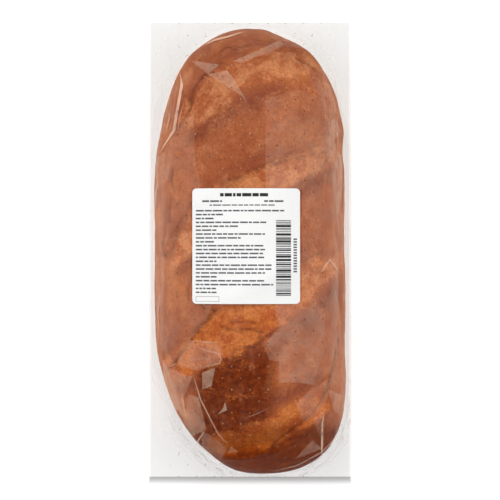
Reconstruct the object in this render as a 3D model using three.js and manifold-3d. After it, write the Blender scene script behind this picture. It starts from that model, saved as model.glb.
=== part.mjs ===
// A long oval white loaf packed in a clear film bag, with a paper label on the front of the bag.
// Millimetres, +Z up. The pack lies on its flat underside, centred on the origin: +Y runs along
// the loaf to the bag's mouth and +X runs across it. The bag is one web of film with a front
// and a back panel, which meet in a flat rim all round, and the loaf lies inside it.
import * as THREE from "three";
import { mergeVertices } from "three/addons/utils/BufferGeometryUtils.js";
import Module from "manifold-3d";

// The loaf, baked as one piece.
const LOAF_LENGTH = 236;
const LOAF_WIDTH = 101;
const LOAF_HEIGHT = 75;
const WIDEST_HEIGHT = 30; // the widest line of the sides, above the base
const MOUTH_END_FULLNESS = 3.25; // a higher power gives a blunter end
const FOLD_END_FULLNESS = 3.7;
const END_ROUNDNESS = 2.5;
const BASE_DEPTH = 1.5; // the underside's curve would reach this share of WIDEST_HEIGHT
const BASE_EDGE = 4; // how softly that curve turns into the flat base
const BASE_SQUARENESS = 2.4;
const END_FALL = 0.12; // how much lower the crown is at the ends
const END_BEND = 8; // the folded end leans this far towards +X

// The knife cuts on the crown: centre along and across the loaf, half length and angle.
const CUT_HALF_WIDTH = 9;
const CUT_DEPTH = 2.2;
const CUTS = [
  { along: 90, across: -1, halfLength: 36, angle: 28 },
  { along: 27, across: 0, halfLength: 48, angle: 32 },
  { along: -32, across: 3, halfLength: 48, angle: 35 },
  { along: -90, across: 12, halfLength: 35, angle: 32 },
];

// The film bag.
const BAG_LENGTH = 242;
const BAG_WIDTH = 107;
const FILM = 0.6; // panel thickness, measured upright
const CLEAR = 0.7; // gap between film and loaf above and below
const SIDE_CLEAR = 1.5; // and at its sides and ends
const RIM_HEIGHT = 34; // where the front and back panels meet
const WELD = 1.2; // width of the welded edge
const MOUTH_GAP = 0.4; // the lips of the mouth lie this far apart
const MOUTH_OVERRUN = 0.05; // how far the space inside is run past the lips, to cut them open
const LOAF_BASE = FILM + CLEAR; // the loaf rests on the back panel

// The label.
const LABEL_WIDTH = 56;
const LABEL_LENGTH = 60;
const LABEL_ACROSS = -2;
const LABEL_ALONG = 2;
const LABEL_CORNER = 3;
const LABEL_THICKNESS = 0.3;
const LABEL_GAP = 0.3;

const LOAF_RINGS = 48;
const LOAF_SIDES = 40;
const BAG_ACROSS_STEPS = 22;
const BAG_ALONG_STEPS = 34;
const LABEL_STEPS = 8;

const wasm = await Module();
wasm.setup();

// A closed three.js geometry as a solid that can be joined and cut.
function solidOf(geometry) {
  const bare = geometry.clone();
  bare.deleteAttribute("normal");
  bare.deleteAttribute("uv");
  const merged = mergeVertices(bare, 1e-4);
  return new wasm.Manifold(
    new wasm.Mesh({
      numProp: 3,
      vertProperties: merged.attributes.position.array,
      triVerts: merged.index.array,
    }),
  );
}

// A solid's surface as a three.js geometry.
function geometryOf(solid) {
  const { vertProperties, triVerts } = solid.getMesh();
  const geometry = new THREE.BufferGeometry();
  geometry.setAttribute("position", new THREE.BufferAttribute(vertProperties, 3));
  geometry.setIndex(new THREE.BufferAttribute(triVerts, 1));
  geometry.computeVertexNormals();
  return geometry;
}

// Moves every vertex of a geometry to where place(point) puts it.
function reshape(geometry, place) {
  const position = geometry.attributes.position;
  const point = new THREE.Vector3();
  for (let i = 0; i < position.count; i++) {
    point.fromBufferAttribute(position, i);
    place(point);
    position.setXYZ(i, point.x, point.y, point.z);
  }
  geometry.computeVertexNormals();
  return geometry;
}

// From 1 at the middle to 0 at the tips: the loaf's width and height share this outline.
function endShare(along) {
  const share = Math.min(1, Math.abs(along) / (LOAF_LENGTH / 2));
  const fullness = along > 0 ? MOUTH_END_FULLNESS : FOLD_END_FULLNESS;
  return Math.pow(1 - Math.pow(share, fullness), 1 / END_ROUNDNESS);
}

// The loaf's middle line leans towards +X at the folded end.
function leanAt(along) {
  return END_BEND * THREE.MathUtils.smoothstep(-along / (LOAF_LENGTH / 2), 0.35, 0.95);
}

// Height of the crown above the widest line, at the middle line of a section.
function crownRise(along) {
  const share = along / (LOAF_LENGTH / 2);
  return (LOAF_HEIGHT - WIDEST_HEIGHT) * endShare(along) * (1 - END_FALL * share * share);
}

// Depth of the underside below the widest line, which ends flat at WIDEST_HEIGHT.
function baseDrop(along, lift) {
  const curve = BASE_DEPTH * WIDEST_HEIGHT * endShare(along) * Math.pow(lift, 2 / BASE_SQUARENESS);
  if (curve > WIDEST_HEIGHT + BASE_EDGE) return WIDEST_HEIGHT;
  if (curve < WIDEST_HEIGHT - BASE_EDGE) return curve;
  return WIDEST_HEIGHT - (WIDEST_HEIGHT + BASE_EDGE - curve) ** 2 / (4 * BASE_EDGE);
}

// How far the knife cuts lower the crown at a point.
function cutDepthAt(across, along) {
  let depth = 0;
  for (const cut of CUTS) {
    const angle = THREE.MathUtils.degToRad(cut.angle);
    const dx = across - cut.across;
    const dy = along - cut.along;
    const lengthwise = (dx * Math.cos(angle) + dy * Math.sin(angle)) / cut.halfLength;
    const sideways = (dy * Math.cos(angle) - dx * Math.sin(angle)) / CUT_HALF_WIDTH;
    const inside = 1 - lengthwise * lengthwise - sideways * sideways;
    if (inside > 0) depth = Math.max(depth, CUT_DEPTH * Math.sqrt(inside));
  }
  return depth;
}

// The loaf: an outline turned round Y, whose rings are then pressed to the loaf's section.
function makeLoaf() {
  const outline = [];
  for (let i = 0; i <= LOAF_RINGS; i++) {
    const along = (LOAF_LENGTH / 2) * Math.sin(Math.PI * (i / LOAF_RINGS - 0.5));
    const tip = i === 0 || i === LOAF_RINGS;
    outline.push(new THREE.Vector2(tip ? 0 : endShare(along), along));
  }
  return reshape(new THREE.LatheGeometry(outline, LOAF_SIDES), (point) => {
    const along = point.y;
    const share = Math.hypot(point.x, point.z);
    const side = share > 0 ? point.x / share : 0;
    const lift = share > 0 ? Math.min(1, Math.abs(point.z) / share) : 0;
    const squareness = point.z < 0 ? BASE_SQUARENESS : 2;
    const reach = (LOAF_WIDTH / 2) * share;
    point.x = leanAt(along) + reach * Math.sign(side) * Math.pow(Math.abs(side), 2 / squareness);
    point.z =
      point.z < 0
        ? WIDEST_HEIGHT - baseDrop(along, lift)
        : WIDEST_HEIGHT + crownRise(along) * lift - cutDepthAt(point.x, along) * lift;
  });
}

// The place on the loaf that the film over a point has to clear, a little nearer the middle.
function clearedPlace(along) {
  return (along * LOAF_LENGTH) / (LOAF_LENGTH + 2 * SIDE_CLEAR);
}

// How far across its own section a point lies, from 0 at the middle to 1 clear of the side.
function sectionShare(across, along) {
  const share = endShare(along);
  return share > 0 ? Math.abs(across - leanAt(along)) / ((LOAF_WIDTH / 2 + SIDE_CLEAR) * share) : Infinity;
}

// Keeps a height on the front panel clear of the crown.
function aboveLoaf(across, along, height) {
  const place = clearedPlace(along);
  const share = sectionShare(across, place);
  if (share >= 1) return height;
  const crown = WIDEST_HEIGHT + crownRise(place) * Math.sqrt(1 - share * share);
  return Math.max(height, LOAF_BASE + crown + CLEAR);
}

// Keeps a height on the back panel clear of the underside.
function belowLoaf(across, along, height) {
  const place = clearedPlace(along);
  const share = sectionShare(across, place);
  if (share >= 1) return height;
  const side = Math.pow(share, BASE_SQUARENESS / 2);
  const base = WIDEST_HEIGHT - baseDrop(place, Math.sqrt(1 - side * side));
  return Math.min(height, LOAF_BASE + base - CLEAR);
}

// Places along one edge of the bag: closer together towards the rim, with the weld last.
function placesAcross(size, steps) {
  const places = [-size / 2];
  for (let i = 0; i <= steps - 2; i++) {
    places.push((size / 2 - WELD) * Math.sin(Math.PI * (i / (steps - 2) - 0.5)));
  }
  places.push(size / 2);
  return places;
}

const bagAcross = placesAcross(BAG_WIDTH, BAG_ACROSS_STEPS);
const bagAlong = placesAcross(BAG_LENGTH, BAG_ALONG_STEPS);

// Taut film: each place settles between its four neighbours, but stays clear of the loaf.
function settlePanel(rimHeight, keepClear) {
  const heights = bagAcross.map((x) => bagAlong.map((y) => keepClear(x, y, rimHeight)));
  const SWEEPS = 1500;
  for (let sweep = 0; sweep < SWEEPS; sweep++) {
    for (let i = 1; i < BAG_ACROSS_STEPS; i++) {
      for (let j = 1; j < BAG_ALONG_STEPS; j++) {
        const left = 1 / (bagAcross[i] - bagAcross[i - 1]);
        const right = 1 / (bagAcross[i + 1] - bagAcross[i]);
        const before = 1 / (bagAlong[j] - bagAlong[j - 1]);
        const after = 1 / (bagAlong[j + 1] - bagAlong[j]);
        const width = bagAcross[i + 1] - bagAcross[i - 1];
        const length = bagAlong[j + 1] - bagAlong[j - 1];
        const acrossSum = (left * heights[i - 1][j] + right * heights[i + 1][j]) / width;
        const alongSum = (before * heights[i][j - 1] + after * heights[i][j + 1]) / length;
        const settled = (acrossSum + alongSum) / ((left + right) / width + (before + after) / length);
        heights[i][j] = keepClear(bagAcross[i], bagAlong[j], settled);
      }
    }
  }
  return heights;
}

const frontHeights = settlePanel(RIM_HEIGHT + MOUTH_GAP / 2, aboveLoaf);
const backHeights = settlePanel(RIM_HEIGHT - MOUTH_GAP / 2, belowLoaf);

// A box whose top and bottom follow the two panels, thickened by grow. It leaves out inset
// rows at the two sides and at the folded end, and runs past the mouth by overrun.
function panelBox(grow, inset, overrun) {
  const acrossSteps = BAG_ACROSS_STEPS - 2 * inset;
  const alongSteps = BAG_ALONG_STEPS - inset;
  const box = new THREE.BoxGeometry(1, 1, 1, acrossSteps, alongSteps, 1);
  return reshape(box, (point) => {
    const i = Math.round((point.x + 0.5) * acrossSteps) + inset;
    const j = Math.round((point.y + 0.5) * alongSteps) + inset;
    point.x = bagAcross[i];
    point.y = bagAlong[j] + (j === BAG_ALONG_STEPS ? overrun : 0);
    point.z = point.z > 0 ? frontHeights[i][j] + grow : backHeights[i][j] - grow;
  });
}

// The bag: its outside, less the space between the panels, which opens at the mouth.
function makeBag() {
  const outside = solidOf(panelBox(FILM, 0, 0));
  const inside = solidOf(panelBox(0, 1, MOUTH_OVERRUN));
  return geometryOf(outside.subtract(inside));
}

// Height of the front panel's outer face, read between the four places round a point.
function frontFaceAt(across, along) {
  const i = bagAcross.findIndex((x) => x > across) - 1;
  const j = bagAlong.findIndex((y) => y > along) - 1;
  const s = (across - bagAcross[i]) / (bagAcross[i + 1] - bagAcross[i]);
  const t = (along - bagAlong[j]) / (bagAlong[j + 1] - bagAlong[j]);
  const near = THREE.MathUtils.lerp(frontHeights[i][j], frontHeights[i + 1][j], s);
  const far = THREE.MathUtils.lerp(frontHeights[i][j + 1], frontHeights[i + 1][j + 1], s);
  return THREE.MathUtils.lerp(near, far, t) + FILM;
}

// The label's outline, a rectangle with round corners.
function labelOutline() {
  const x = LABEL_WIDTH / 2 - LABEL_CORNER;
  const y = LABEL_LENGTH / 2 - LABEL_CORNER;
  const shape = new THREE.Shape();
  shape.absarc(x, y, LABEL_CORNER, 0, Math.PI / 2);
  shape.absarc(-x, y, LABEL_CORNER, Math.PI / 2, Math.PI);
  shape.absarc(-x, -y, LABEL_CORNER, Math.PI, 1.5 * Math.PI);
  shape.absarc(x, -y, LABEL_CORNER, 1.5 * Math.PI, 2 * Math.PI);
  return shape;
}

// The label: a thin sheet laid on the front panel, trimmed to its outline.
function makeLabel() {
  const box = new THREE.BoxGeometry(LABEL_WIDTH, LABEL_LENGTH, 1, LABEL_STEPS, LABEL_STEPS, 1);
  const sheet = reshape(box, (point) => {
    const upper = point.z > 0;
    point.x += LABEL_ACROSS;
    point.y += LABEL_ALONG;
    point.z = frontFaceAt(point.x, point.y) + LABEL_GAP + (upper ? LABEL_THICKNESS : 0);
  });
  const cutter = new THREE.ExtrudeGeometry(labelOutline(), {
    depth: 2 * LOAF_HEIGHT,
    bevelEnabled: false,
    curveSegments: 3,
  });
  cutter.translate(LABEL_ACROSS, LABEL_ALONG, 0);
  return geometryOf(solidOf(sheet).intersect(solidOf(cutter)));
}

const crust = new THREE.MeshStandardMaterial({ color: 0xa85a34, roughness: 0.55, metalness: 0 });
const film = new THREE.MeshStandardMaterial({
  color: 0xf2f0ec,
  roughness: 0.12,
  metalness: 0,
  transparent: true,
  opacity: 0.25,
});
const paper = new THREE.MeshStandardMaterial({ color: 0xf6f5f2, roughness: 0.6, metalness: 0 });

const loaf = new THREE.Mesh(makeLoaf(), crust);
loaf.name = "loaf";
loaf.position.z = LOAF_BASE;

const bag = new THREE.Mesh(makeBag(), film);
bag.name = "film_bag";

const label = new THREE.Mesh(makeLabel(), paper);
label.name = "label";

const packedLoaf = new THREE.Group();
packedLoaf.add(loaf, bag, label);

export default packedLoaf;
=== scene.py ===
"""A long oval white loaf, packed in a clear film bag with a paper label on its front."""

import math

import bmesh
import bpy
import numpy as np
from mathutils import Matrix, Vector, noise
from mathutils.bvhtree import BVHTree


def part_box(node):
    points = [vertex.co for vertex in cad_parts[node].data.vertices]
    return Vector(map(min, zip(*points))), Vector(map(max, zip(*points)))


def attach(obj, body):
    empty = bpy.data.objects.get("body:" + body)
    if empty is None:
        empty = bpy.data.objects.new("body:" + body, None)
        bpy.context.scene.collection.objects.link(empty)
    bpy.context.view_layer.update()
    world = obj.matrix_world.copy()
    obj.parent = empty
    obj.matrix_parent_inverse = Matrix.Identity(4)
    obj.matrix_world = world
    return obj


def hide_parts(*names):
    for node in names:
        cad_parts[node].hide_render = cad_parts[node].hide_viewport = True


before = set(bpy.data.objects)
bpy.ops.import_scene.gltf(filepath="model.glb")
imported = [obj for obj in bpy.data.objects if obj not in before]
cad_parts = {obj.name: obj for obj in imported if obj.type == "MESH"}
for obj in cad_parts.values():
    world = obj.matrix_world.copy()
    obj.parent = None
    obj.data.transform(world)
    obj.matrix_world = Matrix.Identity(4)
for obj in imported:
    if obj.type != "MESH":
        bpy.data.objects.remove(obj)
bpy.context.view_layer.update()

scene = bpy.context.scene
MM = 0.001


# --- Camera -------------------------------------------------------------------------------
# The pack is seen from straight above, with its mouth end at the top of the picture. The
# long lens keeps the bag's straight edges straight.
BAG_LOW, BAG_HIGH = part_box("film_bag")
RIM_Z = 34 * MM  # the height at which the front and back of the bag meet
BAG_SHARE = 0.907  # how much of the picture's height the bag's length fills
CAMERA_HEIGHT = 1.5

camera_data = bpy.data.cameras.new("camera")
camera = bpy.data.objects.new("camera", camera_data)
scene.collection.objects.link(camera)
camera.location = (0, 0, CAMERA_HEIGHT)
view_width = (BAG_HIGH.y - BAG_LOW.y) / BAG_SHARE
camera_data.sensor_width = 36
camera_data.lens = camera_data.sensor_width * (CAMERA_HEIGHT - RIM_Z) / view_width
camera_data.clip_end = 20
camera_data.dof.use_dof = False
scene.camera = camera


# --- Loaf ---------------------------------------------------------------------------------
# The loaf is one piece of white dough, baked on a flat sole. Its crown was cut four times
# with a knife before it went into the oven: each cut opened into a rough, paler band, with
# a thin lip of crust along one side. The smooth crust between the cuts browned darkest.
LOAF_LOW, LOAF_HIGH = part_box("loaf")
SOLE_DROP = 0.8 * MM  # the sole presses the film under it flat on the floor
LOAF_LENGTH = LOAF_HIGH.y - LOAF_LOW.y
LOAF_WIDTH = LOAF_HIGH.x - LOAF_LOW.x
LOAF_BASE = LOAF_LOW.z - SOLE_DROP
LOAF_HEIGHT = LOAF_HIGH.z - LOAF_BASE
WIDEST = 30 * MM + SOLE_DROP  # the height at which the loaf is widest
MOUTH_END_FULLNESS = 3.25  # the more, the later the outline turns in towards its end
FOLD_END_FULLNESS = 3.7
END_ROUNDNESS = 2.5  # the more, the squarer the ends
BASE_DEPTH = 1.5  # how deep the base would bulge if the sole didn't cut it flat
BASE_EDGE = 4 * MM  # softness of the edge round the sole
BASE_SQUARENESS = 2.4
END_FALL = 0.12  # share of its height that the crown loses towards both ends
END_BEND = 8 * MM  # how far the folded end leans to the right
CUT_DEPTH = 1.6  # in millimetres, as the next two
LIP_HEIGHT = 1.3
CRACK_DEPTH = 1.0
LOAF_RINGS = 300
LOAF_SIDES = 300

# Each cut, in millimetres: its centre across and along, half length, half width, rise in
# degrees, how far its two ends bow out of line, and its lip's side (1 is towards the mouth).
CUTS = [
    {"at": (-4, 91), "half": 43, "width": 8.2, "rise": 25, "bow": (-12, -11), "lip": 1},
    {"at": (-5, 28), "half": 53, "width": 8.6, "rise": 34, "bow": (-8, -8), "lip": 1},
    {"at": (-1, -35), "half": 55, "width": 11.2, "rise": 33.5, "bow": (-1, 0), "lip": 1},
    {"at": (11.5, -94.5), "half": 36, "width": 8.2, "rise": 23, "bow": (6, 8), "lip": -1},
]

# Thin cracks, carved in and darkened with painted shade: the places each runs through, its
# half width, and how dark it is, with places and widths in millimetres.
CRACKS = [
    ([(-38, 64), (-34, 73), (-31, 81), (-26, 89), (-22, 92.5), (-14.5, 98)], 0.8, 0.9),
    ([(-44, -64), (-37, -54), (-31, -46), (-27, -41), (-18, -31)], 0.9, 1),
    ([(-9.5, -53), (-4.5, -51), (2.5, -50), (7, -46), (15, -40.5)], 0.7, 0.8),
    ([(-15, -40), (-8, -42), (0, -41), (6, -42)], 0.7, 0.9),
    ([(-12, -37), (-3, -38), (4, -37.5)], 0.5, 0.6),
    ([(11, -103), (17, -99), (28, -91), (33, -87), (38, -79), (43, -64), (46, -47)], 0.6, 1),
    ([(20, -99), (24, -97), (29, -96)], 0.5, 0.7),
    ([(-30.5, 24), (-36, 14), (-40.5, 5), (-43, -3)], 1.4, 0.5),
    ([(-40.5, 43), (-41, 37), (-39.5, 31)], 0.8, 0.8),
    ([(-41, 27), (-42.5, 21), (-42.5, 15)], 0.8, 0.8),
    ([(-46, 4), (-45, -4)], 0.8, 0.7),
    ([(-31, -13), (-33, -20), (-32, -26)], 0.8, 0.7),
    ([(-1, 40), (8, 42), (19, 46.5), (30, 49.5), (41, 51.5)], 0.6, 0.6),
    ([(-15, 33.5), (-11, 36.5), (-4, 37.5)], 0.7, 0.7),
    ([(26, 34.5), (32, 38.5), (39, 45), (42, 50)], 0.8, 0.45),
    ([(-16, 104), (-12, 107), (-8, 105.5), (-2, 108)], 0.6, 0.6),
    ([(26, 101.5), (28.5, 99)], 0.9, 0.8),
    ([(31, 98.5), (34, 95)], 0.7, 0.7),
    ([(25.5, 72), (28, 68)], 1.2, 0.5),
    ([(-27, -27), (-24, -30), (-20, -30.5)], 0.7, 0.6),
]

# Where the baked dough swells or draws in: across, along, height, how far round, how much.
SWELLS = [
    (44, 78, 32, 26, 2.4),
    (48, -62, 30, 42, 1.3),
    (-46, 42, 30, 30, 1.3),
    (-36, -78, 32, 24, 0.8),
    (-24, -112, 32, 14, -2.0),
    (0, -118, 30, 30, 1.6),
    (22, 119, 34, 10, -4.2),
    (-28, 116, 34, 12, -2.5),
    (52, 63, 30, 8, 1.2),
    (51, 53, 30, 7, -1.4),
    (-49, 62, 30, 8, -0.8),
    (-45, 86, 32, 22, -1.3),
]


def smoothstep(value, low, high):
    share = np.clip((value - low) / (high - low), 0, 1)
    return share * share * (3 - 2 * share)


def end_share(along):
    share = np.minimum(1, np.abs(along) / (LOAF_LENGTH / 2))
    fullness = np.where(along > 0, MOUTH_END_FULLNESS, FOLD_END_FULLNESS)
    return (1 - share**fullness) ** (1 / END_ROUNDNESS)


def lean_at(along):
    return END_BEND * smoothstep(-along / (LOAF_LENGTH / 2), 0.35, 0.95)


def crown_rise(along):
    share = along / (LOAF_LENGTH / 2)
    return (LOAF_HEIGHT - WIDEST) * end_share(along) * (1 - END_FALL * share * share)


def base_drop(along, lift):
    curve = BASE_DEPTH * WIDEST * end_share(along) * lift ** (2 / BASE_SQUARENESS)
    soft = WIDEST - (WIDEST + BASE_EDGE - curve) ** 2 / (4 * BASE_EDGE)
    return np.where(curve > WIDEST + BASE_EDGE, WIDEST, np.where(curve < WIDEST - BASE_EDGE, curve, soft))


def distance_to_line(points, x, y):
    """How far each place is from a line of points, all in the same unit."""
    nearest = np.full(np.shape(x), np.inf)
    for (x0, y0), (x1, y1) in zip(points[:-1], points[1:]):
        dx, dy = x1 - x0, y1 - y0
        share = np.clip(((x - x0) * dx + (y - y0) * dy) / (dx * dx + dy * dy), 0, 1)
        nearest = np.minimum(nearest, np.hypot(x - x0 - share * dx, y - y0 - share * dy))
    return nearest


def vertex_array(mesh):
    places = np.empty(len(mesh.vertices) * 3)
    mesh.vertices.foreach_get("co", places)
    return places.reshape(-1, 3)


def noise_at(points, size, seed, octaves=3):
    shift = Vector((seed * 7.31, seed * 3.17, seed * 5.53))
    return np.array([noise.fractal(Vector(p) / size + shift, 1.0, 2.0, octaves) for p in points])


def add_values(mesh, name, values):
    mesh.attributes.new(name, "FLOAT", "POINT").data.foreach_set("value", values.astype(np.float32))


def new_piece(name, shape, smooth=True):
    mesh = bpy.data.meshes.new(name)
    shape.to_mesh(mesh)
    shape.free()
    piece = bpy.data.objects.new(name, mesh)
    scene.collection.objects.link(piece)
    for face in mesh.polygons:
        face.use_smooth = smooth
    return piece


shape = bmesh.new()
bmesh.ops.create_uvsphere(
    shape,
    u_segments=LOAF_SIDES,
    v_segments=LOAF_RINGS,
    radius=1,
    matrix=Matrix.Rotation(math.radians(-90), 4, "X"),
)
bmesh.ops.recalc_face_normals(shape, faces=shape.faces[:])
loaf = new_piece("loaf_crust", shape)
ball = vertex_array(loaf.data)

along = ball[:, 1] * LOAF_LENGTH / 2
radius = np.hypot(ball[:, 0], ball[:, 2])
side = np.where(radius > 1e-6, ball[:, 0] / np.maximum(radius, 1e-6), 0)
lift = np.where(radius > 1e-6, np.minimum(1, np.abs(ball[:, 2]) / np.maximum(radius, 1e-6)), 0)
upper = ball[:, 2] >= 0
squareness = np.where(upper, 2, BASE_SQUARENESS)
across = lean_at(along) + LOAF_WIDTH / 2 * end_share(along) * np.sign(side) * np.abs(side) ** (2 / squareness)
height = np.where(upper, WIDEST + crown_rise(along) * lift, WIDEST - base_drop(along, lift))
places = np.column_stack([across, along, LOAF_BASE + height])

# Relief: broad unevenness everywhere but the sole, then the cuts.
outward = np.column_stack([ball[:, 0], ball[:, 1] * 0.35, ball[:, 2]])
outward /= np.linalg.norm(outward, axis=1)[:, None]
above_sole = smoothstep(height, 0.5 * MM, 8 * MM)
broad = noise_at(places, 34 * MM, 1)
fine = noise_at(places, 7 * MM, 2)
grain = noise_at(places, 2.6 * MM, 3, 2)
relief = above_sole * (0.8 * broad + 0.16 * fine + 0.2) * MM
for x, y, z, size, swell in SWELLS:
    gap = np.linalg.norm(places / MM - (x, y, z), axis=1)
    relief += above_sole * swell * np.exp(-((gap / size) ** 2)) * MM

in_cut = np.zeros(len(places))
crack = np.zeros(len(places))
browned = np.zeros(len(places))
crown = np.where(upper, smoothstep(lift, 0.1, 0.45), 0)
wander = 1.6 * broad + 1.1 * fine
place_x = places[:, 0] / MM
place_y = places[:, 1] / MM
for number, cut in enumerate(CUTS):
    rise = math.radians(cut["rise"])
    dx = place_x - cut["at"][0]
    dy = place_y - cut["at"][1]
    lengthwise = (dx * math.cos(rise) + dy * math.sin(rise)) / cut["half"]
    bow = np.where(lengthwise < 0, cut["bow"][0], cut["bow"][1]) * lengthwise**2
    taper = 0.35 + 0.65 * np.sqrt(np.clip(1 - lengthwise**2, 0, 1))
    sideways = (dy * math.cos(rise) - dx * math.sin(rise) - bow + wander) / (cut["width"] * taper)
    sideways *= cut["lip"]
    reach = smoothstep(-np.abs(lengthwise), -1.1, -0.8) * crown
    band = smoothstep(-sideways, -1.05, -0.85) * smoothstep(sideways, -1.4, -0.55) * reach
    in_cut = np.maximum(in_cut, band)
    hollow = smoothstep(sideways, -1.2, 0.8) * smoothstep(-sideways, -1.0, -0.86)
    lip = np.exp(-(((sideways - 1.18) / 0.22) ** 2))
    relief += reach * (-CUT_DEPTH * hollow + LIP_HEIGHT * lip + 0.4 * band * grain) * MM
    shaded = np.exp(-(((sideways + 1.75) / 0.6) ** 2))
    shaded += 0.5 * np.exp(-(((sideways - 1.5) / 0.5) ** 2))
    browned = np.maximum(browned, shaded * reach * (1 - band))
spread_out = smoothstep(place_x, 12, 24) * smoothstep(place_y, 55, 70)
browned *= 1 - 0.7 * spread_out
torn = 0.55 + 0.45 * smoothstep(noise_at(places, 6 * MM, 11), -0.3, 0.25)
for line, half, dark in CRACKS:
    gap = distance_to_line(line, place_x + 0.5 * fine, place_y + 0.5 * grain)
    crack = np.maximum(crack, dark * torn * np.exp(-((gap / half) ** 2)) * np.where(upper, 1, 0))
relief -= CRACK_DEPTH * crack * MM

places += outward * relief[:, None]
loaf.data.vertices.foreach_set("co", places.ravel())
add_values(loaf.data, "in_cut", in_cut)
add_values(loaf.data, "crack", crack)
add_values(loaf.data, "browned", browned)
loaf.data.update()


def new_material(name):
    material = bpy.data.materials.new(name)
    material.use_nodes = True
    material.node_tree.nodes.clear()
    return material, material.node_tree


def add_node(tree, kind, inputs=None, **settings):
    node = tree.nodes.new(kind)
    for key, value in settings.items():
        setattr(node, key, value)
    for key, value in (inputs or {}).items():
        socket = node.inputs[key]
        if isinstance(value, bpy.types.NodeSocket):
            tree.links.new(value, socket)
        else:
            socket.default_value = value
    return node


def srgb(red, green, blue):
    def linear(level):
        level /= 255
        return level / 12.92 if level <= 0.04045 else ((level + 0.055) / 1.055) ** 2.4

    return (linear(red), linear(green), linear(blue), 1)


def attribute(tree, name):
    return add_node(tree, "ShaderNodeAttribute", attribute_name=name).outputs["Fac"]


def texture(tree, place, scale, detail=4.0, roughness=0.6):
    inputs = {"Vector": place, "Scale": scale, "Detail": detail, "Roughness": roughness}
    return add_node(tree, "ShaderNodeTexNoise", inputs).outputs["Fac"]


def remap(tree, value, low, high, to_low=0.0, to_high=1.0):
    inputs = {"Value": value, "From Min": low, "From Max": high, "To Min": to_low, "To Max": to_high}
    return add_node(tree, "ShaderNodeMapRange", inputs, interpolation_type="SMOOTHSTEP").outputs["Result"]


def math_node(tree, operation, first, second=0.0, third=None):
    inputs = {0: first, 1: second}
    if third is not None:
        inputs[2] = third
    return add_node(tree, "ShaderNodeMath", inputs, operation=operation).outputs[0]


def product(tree, first, *others):
    for other in others:
        first = math_node(tree, "MULTIPLY", first, other)
    return first


def mix_colour(tree, share, first, second, blend="MIX"):
    """From the first colour to the second, by the share of the second."""
    node = add_node(tree, "ShaderNodeMix", data_type="RGBA", blend_type=blend)
    for socket, value in ((node.inputs[0], share), (node.inputs[6], first), (node.inputs[7], second)):
        if isinstance(value, bpy.types.NodeSocket):
            tree.links.new(value, socket)
        else:
            socket.default_value = value
    return node.outputs[2]


def tint_where(tree, colour, share, red, green, blue):
    """Multiplies a colour by a tint, in full where the share is 1."""
    tint = mix_colour(tree, share, (1, 1, 1, 1), (red, green, blue, 1))
    return mix_colour(tree, 1.0, colour, tint, "MULTIPLY")


crust, tree = new_material("baked_crust")
spot = add_node(tree, "ShaderNodeTexCoord").outputs["Object"]
across_here, along_here, height_here = add_node(tree, "ShaderNodeSeparateXYZ", {0: spot}).outputs

# Smooth crust: patches of brown, darker beside the cuts and darkest near the folded end.
wide_patch = texture(tree, spot, 24)
small_patch = texture(tree, spot, 110)
mottle = texture(tree, spot, 330, 5)
speckle = texture(tree, spot, 950, 3)
patches = remap(tree, wide_patch, 0.35, 0.65)
smooth_crust = mix_colour(tree, patches, srgb(172, 90, 54), srgb(190, 106, 64))
patches = remap(tree, small_patch, 0.45, 0.75, 0, 0.5)
smooth_crust = mix_colour(tree, patches, smooth_crust, srgb(200, 120, 76))
amber = texture(tree, spot, 44, 3)
smooth_crust = mix_colour(tree, remap(tree, amber, 0.52, 0.68, 0, 0.6), smooth_crust, srgb(204, 118, 58))
smooth_crust = mix_colour(tree, remap(tree, mottle, 0.5, 0.3, 0, 0.4), smooth_crust, srgb(138, 66, 44))
dark_crust = mix_colour(tree, remap(tree, small_patch, 0.35, 0.7), srgb(144, 72, 48), srgb(164, 88, 58))
smooth_crust = mix_colour(tree, attribute(tree, "browned"), smooth_crust, dark_crust)
darkest = mix_colour(tree, remap(tree, mottle, 0.35, 0.65), srgb(106, 40, 12), srgb(136, 58, 20))
fold_end = remap(tree, along_here, -86 * MM, -98 * MM)
well_baked = remap(tree, along_here, -42 * MM, -60 * MM)
right_border = remap(tree, across_here, 19 * MM, 6 * MM)
middle = product(tree, right_border, remap(tree, across_here, -32 * MM, -22 * MM))
middle = math_node(tree, "MAXIMUM", middle, fold_end)
well_baked = product(tree, well_baked, middle)
smooth_crust = mix_colour(tree, well_baked, smooth_crust, darkest)

# The torn bands of the cuts: paler, grainy, and with ragged borders.
band_crust = mix_colour(tree, remap(tree, small_patch, 0.38, 0.62), srgb(192, 104, 60), srgb(220, 140, 90))
deeper_crust = mix_colour(tree, remap(tree, small_patch, 0.38, 0.62), srgb(188, 90, 42), srgb(216, 124, 64))
deeper = remap(tree, along_here, -16 * MM, -40 * MM)
band_crust = mix_colour(tree, deeper, band_crust, deeper_crust)
band_crust = mix_colour(tree, remap(tree, speckle, 0.54, 0.75, 0, 0.35), band_crust, srgb(232, 164, 112))
band_crust = mix_colour(tree, remap(tree, speckle, 0.46, 0.3, 0, 0.3), band_crust, srgb(150, 66, 30))
band_crust = mix_colour(tree, product(tree, fold_end, 0.75), band_crust, srgb(146, 66, 16))
uneven = remap(tree, small_patch, 0.3, 0.7, -0.35, 0.35)
ragged_cut = math_node(tree, "ADD", uneven, attribute(tree, "in_cut"))
ragged_cut = math_node(tree, "ADD", ragged_cut, remap(tree, speckle, 0.3, 0.7, -0.2, 0.2))
colour = mix_colour(tree, remap(tree, ragged_cut, 0.1, 0.95), smooth_crust, band_crust)

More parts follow.
